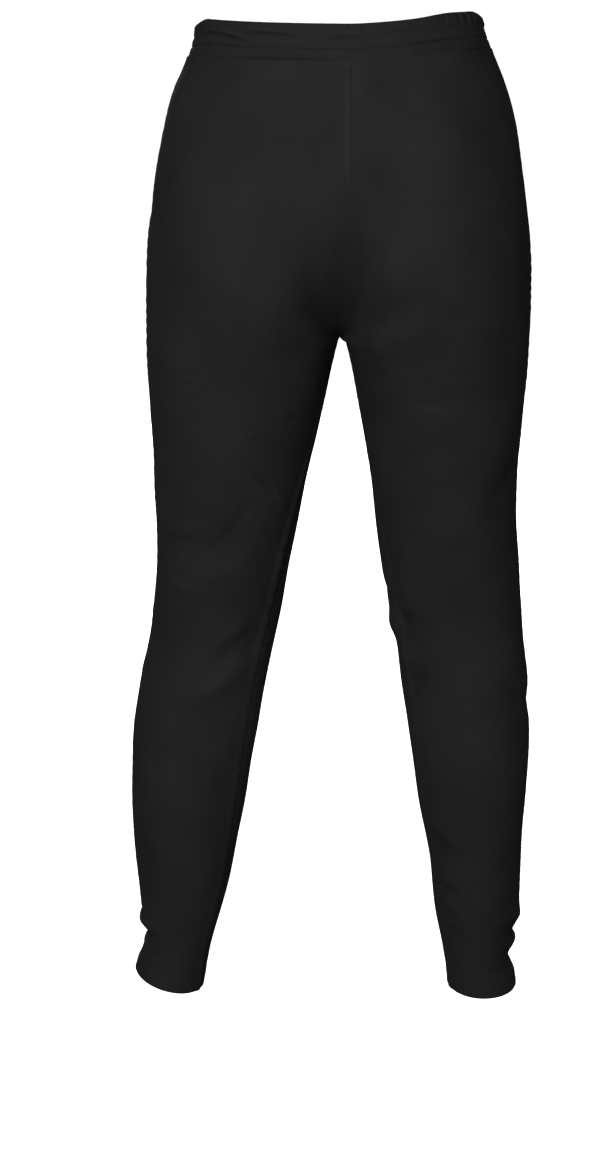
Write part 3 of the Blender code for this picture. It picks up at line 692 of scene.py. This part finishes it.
def settle(points, leg):
    """Lowers the front of the waist, lifts its sides, leans the centre-back seam and slopes the hem."""
    x, y, z = points[..., 0], points[..., 1], points[..., 2]
    near_waist = smooth((z - WAIST_SLOPE_END) / (BAND_BOTTOM - WAIST_SLOPE_END))
    forward = np.clip((DIP_START - y) / (DIP_START + WAIST_HALF_DEPTH), 0.0, 1.0) ** DIP_BEND
    sideward = np.clip(np.abs(x) / WAIST_HALF_WIDTH, 0.0, 1.0) ** LIFT_BEND
    lift = np.where(x < 0, SIDE_LIFTS["right"], SIDE_LIFTS["left"])
    rise = near_waist * (lift * sideward - FRONT_DIP * forward)
    in_band = smooth((z - BAND_BOTTOM) / (BAND_TOP - BAND_BOTTOM))
    rise -= CORNER_DROP * in_band * smooth((np.abs(x) - CORNER_START) / CORNER_WIDTH)
    swell = bump(x, TOP_SWELL_AT, TOP_SWELL_REACH)
    rise += TOP_SWELL * in_band * swell * smooth(y / WAIST_HALF_DEPTH)
    if leg:
        near_hem = smooth((HEM_HEIGHTS[leg] - z) / HEM_SLOPE_HEIGHT + 1)
        outer, inner = (read(SECTIONS, leg + end, z) for end in ("_out", "_in"))
        outward = (2 * np.abs(x) - outer - inner) / (outer - inner)
        rise += near_hem * (HEM_TILTS[leg] * outward - HEM_BACK_DROP * y)
    lean = SEAM_LEAN * smooth((z - FORK_Z) / (SEAM_LEAN_TOP - FORK_Z)) * (y > 0)
    settled = points.copy()
    settled[..., 0] = x - lean * bump(x, 0, SEAM_LEAN_REACH)
    settled[..., 2] = z + rise
    return settled


def cloth_rows(leg):
    """Heights of the rows: crowded towards the fork, even below it and crowded at the hem's edge."""
    top, hem = BAND_BOTTOM, HEM_HEIGHTS[leg]
    share = np.linspace(0.0, 1.0, TRUNK_ROWS + 1)
    crowded = np.sin(share * math.pi / 2)
    trunk = top + (FORK_Z - top) * (crowded + (share - crowded) * EVEN_ROWS)
    near_band = np.arange(top, NEAR_BAND_END, -NEAR_BAND_STEP)
    trunk = np.concatenate([near_band, trunk[trunk < NEAR_BAND_END - NEAR_BAND_STEP]])
    arch = FORK_Z - FORK_ARCH * np.linspace(0.0, 1.0, ARCH_ROWS + 1)[1:] ** 2
    edge = hem + HEM_SHEET / 2 * np.array((1.0, 0.6, 0.3, 0.1, 0.0))
    count = int((arch[-1] - edge[0]) / ROW_STEP)
    below = np.linspace(arch[-1], edge[0], count + 1)[1:-1]
    return np.concatenate([trunk, arch, below, edge])


def ring_faces(rows, columns):
    """Corner numbers of quads between rows of points, each row a closed ring."""
    number = np.arange(rows * columns).reshape(rows, columns)
    ahead = np.roll(number, -1, axis=1)
    return np.stack([number[:-1], number[1:], ahead[1:], ahead[:-1]], axis=2).reshape(-1, 4)


def cloth_mesh(name, points, faces, uv, relief):
    """A smooth mesh with places on the flat cloth as its UV map, and how far each point stands out, with
    painted highlights added, from which the cloth's colour paints shade and highlight.
    """
    mesh = bpy.data.meshes.new(name)
    mesh.from_pydata(points.tolist(), [], faces.tolist())
    corners = np.zeros(len(mesh.loops), np.int32)
    mesh.loops.foreach_get("vertex_index", corners)
    layer = mesh.uv_layers.new(name="cloth")
    layer.uv.foreach_set("vector", uv[corners].astype(np.float32).ravel())
    stands = mesh.attributes.new("relief", "FLOAT", "POINT")
    stands.data.foreach_set("value", relief.astype(np.float32))
    mesh.shade_smooth()
    mesh.set_sharp_from_angle(angle=math.radians(SHARP_DEGREES))
    return mesh


def panel_mesh(name, outer, inner, spread, relief, mirrored):
    """A closed sheet: each row of points goes out along the outer face and back along the inner one."""
    points = np.concatenate([outer, inner[:, ::-1]], axis=1)
    rows, columns = points.shape[:2]
    width = outer.shape[1]
    faces = ring_faces(rows, columns)
    number = np.arange(rows * columns).reshape(rows, columns)
    caps = []
    for row, step in ((0, 1), (-1, -1)):
        out, back = number[row, :width], number[row, width:][::-1]
        cap = np.stack([out[:-1], out[1:], back[1:], back[:-1]], axis=1)
        caps.append(cap[:, ::step])
    faces = np.concatenate([faces] + caps)
    if mirrored:
        faces = faces[:, ::-1]
    places = np.stack([spread, outer[..., 2]], axis=2)
    uv = np.concatenate([places, places[:, ::-1]], axis=1).reshape(-1, 2)
    stands = np.concatenate([relief, relief[:, ::-1]], axis=1).ravel()
    return cloth_mesh(name, points.reshape(-1, 3), faces, uv, stands)


def leg_cloth(leg):
    """The outer face of one leg's cloth with all its relief, its normals and what lies on it, and the fine
    relief with painted highlights added, from which the cloth's colour gets painted shade and highlight.
    """
    z = cloth_rows(leg)
    grid, spread, side = cloth_grid(leg, z)
    closed = z <= FORK_Z
    heights = grid[..., 2]
    grid = grid + normals(grid, closed) * fold_height(FOLDS[leg], spread, heights)[..., None]
    fine = fold_height(CREASES[leg], spread, heights)
    fine += seam_height(leg, spread, heights)
    fine += centre_back_height(leg, spread, heights)
    fine += below_band_height(grid, spread)
    fine += drift_height(leg, spread, heights)
    fine += hem_height(leg, spread, heights)
    outer = grid + normals(grid, closed) * fine[..., None]
    # Painted highlights: the raised centre-back strip and a narrow band along the back panel's edge at the
    # inseam are coloured lighter, as where they catch the light.
    edge = bump(spread[:, -1:] - spread, HIGHLIGHT_FROM_INSEAM, HIGHLIGHT_WIDTH) * (heights < FORK_Z)
    inseam_highlight = bump(heights, INSEAM_HIGHLIGHT_Z[leg], HIGHLIGHT_HEIGHT) * (0.7 + 0.3 * np.sin(260 * heights))
    relief_and_painted_light = fine + PAINTED_EDGE_HIGHLIGHT * (centre_strip(leg, spread, heights) + edge * inseam_highlight)
    return z, outer, normals(outer, closed), spread, side, relief_and_painted_light


def leg_panels(leg):
    """Meshes of one leg's front and back cloth, and the places for its hem stitches."""
    z, outer, normal, spread, side, relief_and_painted_light = leg_cloth(leg)
    hem = HEM_HEIGHTS[leg]
    thickness = np.where(z < hem + HEM_TURN, HEM_SHEET, SHEET)
    inner = outer - normal * thickness[:, None, None]
    # The folded edge of the hem is round.
    from_edge = np.clip((z - hem) / (HEM_SHEET / 2), 0.0, 1.0)
    rounding = HEM_SHEET / 2 * 0.8 * (1 - np.sqrt(1 - (1 - from_edge) ** 2))
    outer = outer - normal * rounding[:, None, None]
    inner = inner + normal * rounding[:, None, None]
    meshes = {}
    for face, columns in (("front", slice(0, side + 1)), ("back", slice(side, None))):
        layers = []
        for layer in (outer, inner):
            cut = layer[:, columns].copy()
            # Nothing crosses the middle of the body, where the other leg's cloth starts.
            cut[..., 0] = np.maximum(cut[..., 0], 0.0)
            layers.append(settle(cut * SIDES[leg], leg))
        name = f"cloth_{face}_{leg}"
        meshes[name] = panel_mesh(name, *layers, spread[:, columns], relief_and_painted_light[:, columns], leg == "right")
    row = np.argmin(np.abs(z - hem - HEM_TURN + HEM_LINE_DROP))
    line = settle((outer[row] * SIDES[leg])[None], leg)[0]
    return meshes, (line, normal[row] * SIDES[leg])


# The waistband

BAND_COLUMNS = 720
BAND_ROWS = 44
STITCH_LINES = (-0.0052, 0.0054)
LINE_DEPTHS = (0.0009, 0.00035)
LINE_WIDTHS = (0.0010, 0.0022)
BAND_PUFF = 0.0006
LOW_LINE = -0.0120
LOW_LINE_DEPTH = 0.00025
LOW_LINE_WIDTH = 0.0007
TOP_ROUNDING = 0.0017
FINE_GATHERS = 2.37  # small gathers for each large one
FINE_DEPTH = 0.38
FLAT_AT_STITCHES = 0.002
INSIDE_SHARE = 0.4  # of the gathers, on the inside of the band
TOP_DIP = 0.35

# Creases of the band, as distance from the middle of the back along it, positive to the wearer's left
BAND_CREASES = fold_table(
    (146, 3, 118, 5.6, 0.6, 1.6, -1.4, 0.6),
    (124, 5.4, 86, -0.6, 0.8, 1.6, -1.7, 0.6),
    (124, -3.4, 93, -4, -0.6, 1.2, -1, 0.6),
    (142, -6.4, 124, -3.4, 0.4, 1.4, -0.9, 0.5),
    (93, 8, 40, 6, 0.5, 1.6, -1.2, 0.8),
    (20, 4.8, -16, 5, -0.5, 2.2, -1, 0.6),
    (80, 1, 48, 0.2, 0.4, 1.4, 0.5, 0),
    (6, 9, 8, 4, 0.2, 1.2, -0.5, 0.4),
    (-10, 16, -12, 8, 0.4, 1.6, -0.6, 0.6),
    (-30, 7, -70, 8.2, 0.5, 1.8, -0.6, 0.5),
    (-62, -4, -128, -3.6, -0.6, 1.4, -0.8, 0.6),
    (-100, 17.5, -104, 7, 0.8, 1.7, -0.9, 0.5),
    (-117, 17.8, -124, 6.2, 1, 1.9, -1.2, 0.6),
    (-127, 17.8, -138, 3, 1.2, 1.8, -1.1, 0.6),
    (-142, 17, -146, 6, 0.8, 1.8, -0.9, 0.5),
    (-98, -8.5, -122, -7.8, 0.3, 1.2, -0.7, 0.6),
    (-132, -8, -150, -6, 0.3, 1.2, -0.7, 0.6),
    (170, 8, 196, 4, 0.6, 1.8, -0.9, 0.6),
    (210, -3, 236, 3, 0.6, 1.6, -0.9, 0.6),
    (-176, 10, -202, 6, 0.6, 1.8, -0.9, 0.6),
    (-216, -2, -244, -6, 0.5, 1.6, -0.8, 0.6),
    (300, 6, 342, 4.6, 0.6, 1.8, -0.8, 0.7),
    (-286, 5, -330, 6.4, 0.6, 1.8, -0.8, 0.7),
    (372, -4, 350, -6, 0.4, 1.4, -0.6, 0.6),
    (128, -14.6, -6, -14.8, 0, 1.1, -1.3, 0),
)


def body_ring(z, shares):
    """The whole outline of the waist at heights z, as (row, column, xyz), with a column at each
    share of the way round from the middle of the front."""
    rings = np.zeros((len(z), len(shares), 3))
    halves = {leg: sections(leg, z)[0] for leg in SIDES}
    for row, height in enumerate(z):
        left, right = halves["left"][row], halves["right"][row] * SIDES["right"][:2]
        loop = np.concatenate([left[:-1], right[::-1]])[None]
        distance = along(loop)[0]
        rings[row, :, :2] = on_line(shares * distance[-1], distance, loop[0])
        rings[row, :, 2] = height
    return rings


def gather_wave(shares):
    """The uneven gathers of the solids, as a smooth wave round the waist, and their running number."""
    number = np.arange(GATHERS)
    width = 1 + 0.30 * np.sin(2.4 * number) + 0.18 * np.sin(0.9 * number + 1.0)
    depth = 0.62 + 0.38 * np.sin(1.7 * number + 0.5 * np.sin(0.8 * number))
    ends = np.concatenate([[0.0], np.cumsum(width)]) / width.sum()
    count = np.interp(shares, ends, np.arange(GATHERS + 1))
    deep = np.interp(count, np.arange(GATHERS + 1), np.append(depth, depth[0]))
    return deep, count


def band_relief(heights, shares, ring):
    """How far the waistband stands out: soft channels between stitched grooves, gathers and creases."""
    deep, count = gather_wave(shares)
    z = heights[:, None]
    up = (heights - BAND_BOTTOM) / (BAND_TOP - BAND_BOTTOM)
    profile = BAND_PUFF * np.sin(math.pi * np.clip(up, 0.0, 1.0)) ** 0.6
    for line, depth, width in zip(STITCH_LINES, LINE_DEPTHS, LINE_WIDTHS):
        profile -= depth * bump(heights, line, width)
    profile -= LOW_LINE_DEPTH * bump(heights, LOW_LINE, LOW_LINE_WIDTH)
    to_side = np.abs(ring[..., 0]) / WAIST_HALF_WIDTH
    in_front = smooth(-ring[..., 1] / 0.08)
    strength = GATHER_AT_BACK * (0.4 + 0.6 * to_side**2) + (1 - GATHER_AT_BACK) * in_front
    strength = strength * (GATHER_AT_SEAM + (1 - GATHER_AT_SEAM) * np.clip(up, 0.0, 1.0)[:, None])
    wander = 0.12 * np.sin(140 * z + 1.3 * count)
    main = 2 * (0.5 + 0.5 * np.cos(2 * math.pi * (count + wander))) ** 0.75 - 1
    # Between the rows of stitching each stretch has its own small gathers.
    stretch = np.searchsorted(STITCH_LINES, heights)[:, None]
    between = 1 - bump(z, STITCH_LINES[0], FLAT_AT_STITCHES) - bump(z, STITCH_LINES[1], FLAT_AT_STITCHES)
    small = np.cos(2 * math.pi * (FINE_GATHERS * count + 0.35 * np.sin(0.7 * count) + 0.31 * stretch))
    gathered = GATHER_DEPTH * strength * (deep * main + FINE_DEPTH * small * between)
    span = np.linalg.norm(np.roll(ring, -1, axis=1) - ring, axis=2)
    round_waist = span.sum(axis=1, keepdims=True)
    from_back = round_waist * (0.5 - shares)
    creased = sum(one_fold(fold, from_back, z + 0 * from_back) for fold in BAND_CREASES)
    return profile[:, None] + gathered, creased, from_back


def waistband():
    """The elastic waistband's mesh, and the places of its two rows of stitches."""
    shares = np.arange(BAND_COLUMNS) / BAND_COLUMNS
    # Heights from the folded top edge down the outside, then up the inside
    cap = BAND_TOP - TOP_ROUNDING * (1 - np.cos(np.linspace(0, math.pi / 2, 5)))
    outside = np.concatenate([cap, np.linspace(cap[-1], BAND_BOTTOM, BAND_ROWS)[1:]])
    inside = np.concatenate([np.linspace(BAND_BOTTOM, cap[-1], 8), cap[::-1][1:-1]])
    heights = np.concatenate([outside, inside])
    ring = body_ring(heights, shares)
    turn = np.roll(ring, -1, axis=1) - np.roll(ring, 1, axis=1)
    outward = unit(np.stack([turn[..., 1], -turn[..., 0], 0 * turn[..., 0]], axis=2))
    stands, creased, from_back = band_relief(heights, shares, ring)
    is_inside = (np.arange(len(heights)) >= len(outside))[:, None]
    rolled = TOP_ROUNDING * (1 - np.sqrt(np.clip(1 - ((heights - cap[-1]) / TOP_ROUNDING) ** 2, 0, 1)))
    rolled[heights < cap[-1]] = 0.0
    rolled = rolled[:, None]
    height = np.where(is_inside, INSIDE_SHARE * stands - BAND_WALL + rolled, stands + creased - rolled)
    points = ring + outward * height[..., None]
    # The top edge dips where the gathers draw it in.
    near_top = smooth((heights - STITCH_LINES[1]) / (BAND_TOP - STITCH_LINES[1]))[:, None]
    points[..., 2] += TOP_DIP * near_top * (stands - stands.mean(axis=1, keepdims=True))
    points = settle(points, None)
    rows = len(heights)
    number = np.arange(rows * BAND_COLUMNS).reshape(rows, BAND_COLUMNS)
    faces = ring_faces(rows, BAND_COLUMNS)
    last, first = number[-1], number[0]
    closing = np.stack([last, first, np.roll(first, -1), np.roll(last, -1)], axis=1)
    faces = np.concatenate([faces, closing])
    uv = np.stack([from_back, heights[:, None] + 0 * from_back], axis=2).reshape(-1, 2)
    # This relief also gives the band painted shade in its grooves and creases and painted highlight on its
    # gathers, through the cloth's colour.
    relief = np.where(is_inside, 0.0, stands - BAND_PUFF + creased)
    mesh = cloth_mesh("cloth_waistband", points.reshape(-1, 3), faces, uv, relief.ravel())
    lines = []
    for line in STITCH_LINES:
        row = int(np.argmin(np.abs(outside - line)))
        lines.append((points[row], outward[row]))
    return mesh, lines


# Stitches

STITCH_LENGTH = 0.0026
STITCH_PITCH = 0.0034
THREAD_RADIUS = 0.00022
STITCH_RINGS = ((-1.0, 0.30), (-0.6, 0.85), (0.0, 1.0), (0.6, 0.85), (1.0, 0.30))
STITCH_SIDES = 6


def stitches(name, lines):
    """One joined mesh of stitches along closed lines of points with their outward directions."""
    rings, radii = np.array(STITCH_RINGS).T
    around = np.arange(STITCH_SIDES) * 2 * math.pi / STITCH_SIDES
    points, faces = [], []
    per_stitch = len(rings) * STITCH_SIDES
    tube = ring_faces(len(rings), STITCH_SIDES)
    ends = (np.arange(STITCH_SIDES), per_stitch - 1 - np.arange(STITCH_SIDES))
    for line, facing in lines:
        loop = np.concatenate([line, line[:1]])
        looks = np.concatenate([facing, facing[:1]])
        distance = along(loop[None])[0]
        count = int(distance[-1] / STITCH_PITCH)
        for number in range(count):
            middle = (number + 0.5) * distance[-1] / count
            at = middle + rings * STITCH_LENGTH / 2
            centre = on_line(at, distance, loop)
            out = unit(on_line(middle, distance, looks))
            beside = np.cross(out, unit(centre[-1] - centre[0]))
            # The thread sinks into the cloth at both ends of a stitch.
            centre = centre + out * (THREAD_RADIUS * (0.7 - 1.6 * rings**2))[:, None]
            wide = radii[:, None, None] * THREAD_RADIUS
            circle = np.cos(around)[None, :, None] * beside + np.sin(around)[None, :, None] * out
            base = len(points) * per_stitch
            points.append((centre[:, None] + wide * circle).reshape(-1, 3))
            faces += (tube + base).tolist() + [(ends[0] + base).tolist(), (ends[1] + base).tolist()]
    mesh = bpy.data.meshes.new(name)
    mesh.from_pydata(np.concatenate(points).tolist(), [], faces)
    mesh.shade_smooth()
    return mesh


# Materials

CLOTH_DARK = (0.0095, 0.0095, 0.0098, 1.0)
CLOTH_LIGHT = (0.0175, 0.0175, 0.0180, 1.0)
CLOTH_LOOKS = {"Specular IOR Level": 0.05, "Sheen Weight": 0.004, "Sheen Roughness": 0.5}
CLOTH_ROUGHNESS = (0.94, 0.80)
TWILL_DEGREES = 62
# How strongly and how deeply the crumpled surface, the slubs and the weave are felt
SURFACES = ((0.35, 0.0012), (0.35, 0.00025), (0.45, 0.00012))
THREAD_DARK = (0.007, 0.007, 0.0075, 1.0)
THREAD_LIGHT = (0.015, 0.015, 0.0155, 1.0)
THREAD_LOOKS = {"Roughness": 0.7, "Specular IOR Level": 0.2}
WHITE = (1.0, 1.0, 1.0, 1.0)


def shader(name, looks):
    """A material, its node tree and its shader, with the sockets that looks names set."""
    material = bpy.data.materials.new(name)
    material.use_nodes = True
    tree = material.node_tree
    principled = tree.nodes["Principled BSDF"]
    for key, value in looks.items():
        principled.inputs[key].default_value = value
    return material, tree, principled


def node(tree, kind, inputs=None, **settings):
    """Adds a node, sets its properties, and sets or links its inputs."""
    made = tree.nodes.new(kind)
    for key, value in settings.items():
        setattr(made, key, value)
    for key, value in (inputs or {}).items():
        if isinstance(value, bpy.types.NodeSocket):
            tree.links.new(value, made.inputs[key])
        else:
            made.inputs[key].default_value = value
    return made


def noise(tree, place, scale, detail, roughness=0.5):
    """A noise between 0 and 1."""
    inputs = {"Vector": place, "Scale": scale, "Detail": detail, "Roughness": roughness}
    return node(tree, "ShaderNodeTexNoise", inputs).outputs["Fac"]


def stretched(tree, value, start, end):
    """A value with its range from start's two ends moved to end's."""
    inputs = {"Value": value, "From Min": start[0], "From Max": start[1], "To Min": end[0], "To Max": end[1]}
    return node(tree, "ShaderNodeMapRange", inputs).outputs["Result"]


def combined(tree, operation, first, second):
    """Two numbers added or multiplied."""
    return node(tree, "ShaderNodeMath", {0: first, 1: second}, operation=operation).outputs[0]


def colour_between(tree, principled, share, dark, light):
    """Gives a shader a colour from dark to light."""
    mix = node(tree, "ShaderNodeMix", {"Factor": share, "A": dark, "B": light}, data_type="RGBA")
    tree.links.new(mix.outputs["Result"], principled.inputs["Base Color"])


def cotton():
    """Black cotton twill: fine diagonal weave, slubs, a little lint, and painted shade and highlight from
    the relief: darker in hollows, lighter on what stands out.
    """
    material, tree, principled = shader("black_cotton_twill", CLOTH_LOOKS)
    place = node(tree, "ShaderNodeTexCoord")
    solid = place.outputs["Object"]
    in_mm = (PER_METRE, PER_METRE, 1.0)
    on_cloth = node(tree, "ShaderNodeMapping", {"Vector": place.outputs["UV"], "Scale": in_mm}).outputs[0]
    turn = (0.0, 0.0, math.radians(TWILL_DEGREES))
    diagonal = node(tree, "ShaderNodeMapping", {"Vector": on_cloth, "Rotation": turn}).outputs[0]
    weave = {"Vector": diagonal, "Scale": 0.42, "Distortion": 0.8, "Detail": 1.0, "Detail Scale": 0.6}
    twill = node(tree, "ShaderNodeTexWave", weave, wave_type="BANDS", bands_direction="X").outputs["Fac"]
    yarns = node(tree, "ShaderNodeMapping", {"Vector": on_cloth, "Scale": (1.6, 0.11, 1.0)}).outputs[0]
    slubs = noise(tree, yarns, 1.0, 3.0)
    mottle = noise(tree, solid, 16.0, 5.0, 0.6)
    lint = noise(tree, solid, 420.0, 2.0)
    crumple = noise(tree, solid, 75.0, 3.0)
    # Painted shade and highlight: the relief colours the cloth darker in creases, seams and the seat's
    # hollow, and lighter on ridges and the painted highlight strips.
    relief = node(tree, "ShaderNodeAttribute", attribute_name="relief").outputs["Fac"]
    total = stretched(tree, relief, (-0.0015, 0.0015), (-0.30, 0.30))
    for source, weight in ((mottle, 0.62), (lint, 0.22), (slubs, 0.26), (twill, 0.10)):
        total = combined(tree, "ADD", total, combined(tree, "MULTIPLY", source, weight))
    tone = stretched(tree, total, (0.1, 1.1), (0.0, 1.0))
    colour_between(tree, principled, tone, CLOTH_DARK, CLOTH_LIGHT)
    roughness = stretched(tree, mottle, (0.3, 0.7), CLOTH_ROUGHNESS)
    tree.links.new(roughness, principled.inputs["Roughness"])
    inputs = {}
    for height, (strength, distance) in zip((crumple, slubs, twill), SURFACES):
        inputs |= {"Height": height, "Strength": strength, "Distance": distance}
        inputs["Normal"] = node(tree, "ShaderNodeBump", inputs).outputs["Normal"]
    tree.links.new(inputs["Normal"], principled.inputs["Normal"])
    return material


def thread():
    """Black spun thread: a fine twist along each stitch."""
    material, tree, principled = shader("black_thread", THREAD_LOOKS)
    twist = noise(tree, node(tree, "ShaderNodeTexCoord").outputs["Object"], 2600.0, 1.0)
    colour_between(tree, principled, twist, THREAD_DARK, THREAD_LIGHT)
    relief = node(tree, "ShaderNodeBump", {"Height": twist, "Strength": 0.5, "Distance": 0.0001})
    tree.links.new(relief.outputs["Normal"], principled.inputs["Normal"])
    return material


# Floor, light and camera

FLOOR_Z = -1.08
FLOOR_RADIUS = 30.0
FLOOR_LOOKS = {
    "Base Color": (0.92, 0.92, 0.92, 1.0),
    "Roughness": 0.9,
    "Specular IOR Level": 0.1,
    "Emission Color": WHITE,
    "Emission Strength": 0.95,
}
AMBIENT = 0.16
BACKDROP = 1.05
CAMERA_PLACE = (0.0, 2.75, 0.13)
CAMERA_PITCH = 13.335
CAMERA_ROLL = 0.19
CAMERA_YAW = 0.77
CAMERA_LENS = 89.532
# name, place, size across, power in watts
LAMPS = (
    ("key", (0.38, 2.3, 0.55), 1.0, 69.0),
    ("front_fill", (0.3, -4.0, 1.2), 1.4, 160.0),
)
AIM = (0.0, 0.0, -0.45)


def floor():
    place = (0, 0, FLOOR_Z)
    bpy.ops.mesh.primitive_circle_add(vertices=96, radius=FLOOR_RADIUS, fill_type="NGON", location=place)
    plane = bpy.context.object
    plane.name = "floor"
    plane.data.materials.append(shader("pale_floor", FLOOR_LOOKS)[0])
    plane.visible_diffuse = False
    plane.visible_glossy = False


def studio_light():
    """Grey light from all round on the cloth, before a backdrop that is plain white."""
    world = bpy.data.worlds.new("studio")
    bpy.context.scene.world = world
    world.use_nodes = True
    tree = world.node_tree
    tree.nodes.clear()
    path = node(tree, "ShaderNodeLightPath")
    light = node(tree, "ShaderNodeBackground", {"Color": WHITE, "Strength": AMBIENT}).outputs[0]
    seen = node(tree, "ShaderNodeBackground", {"Color": WHITE, "Strength": BACKDROP}).outputs[0]
    mix = node(tree, "ShaderNodeMixShader", {0: path.outputs["Is Camera Ray"], 1: light, 2: seen})
    node(tree, "ShaderNodeOutputWorld", {"Surface": mix.outputs[0]})
    for name, spot, size, power in LAMPS:
        lamp = bpy.data.lights.new(name, "AREA")
        lamp.shape = "DISK"
        lamp.size = size
        lamp.energy = power
        holder = bpy.data.objects.new(name, lamp)
        bpy.context.scene.collection.objects.link(holder)
        holder.location = spot
        holder.rotation_mode = "QUATERNION"
        away = holder.location - type(holder.location)(AIM)
        holder.rotation_quaternion = away.to_track_quat("Z", "Y")


def camera():
    lens = bpy.data.cameras.new("camera")
    lens.lens = CAMERA_LENS
    holder = bpy.data.objects.new("camera", lens)
    bpy.context.scene.collection.objects.link(holder)
    holder.location = CAMERA_PLACE
    turns = (90 - CAMERA_PITCH, CAMERA_ROLL, 180 + CAMERA_YAW)
    holder.rotation_euler = [math.radians(turn) for turn in turns]
    bpy.context.scene.camera = holder


def add(name, mesh, material):
    mesh.materials.append(material)
    piece = bpy.data.objects.new(name, mesh)
    bpy.context.scene.collection.objects.link(piece)
    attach(piece, "root")
    return piece


def main():
    twill, spun = cotton(), thread()
    hems = {}
    for leg in SIDES:
        meshes, hems[leg] = leg_panels(leg)
        for name, mesh in meshes.items():
            piece = add(name, mesh, twill)
            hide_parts(name.removeprefix("cloth_"))
    band_mesh, band_lines = waistband()
    band = add("cloth_waistband", band_mesh, twill)
    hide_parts("waistband")
    band_stitches = add("waistband_stitches", stitches("waistband_stitches", band_lines), spun)
    for leg, line in hems.items():
        name = f"hem_stitches_{leg}"
        add(name, stitches(name, [line]), spun)
    floor()
    studio_light()
    camera()
    bpy.context.scene.view_settings.view_transform = "Standard"
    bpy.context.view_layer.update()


main()
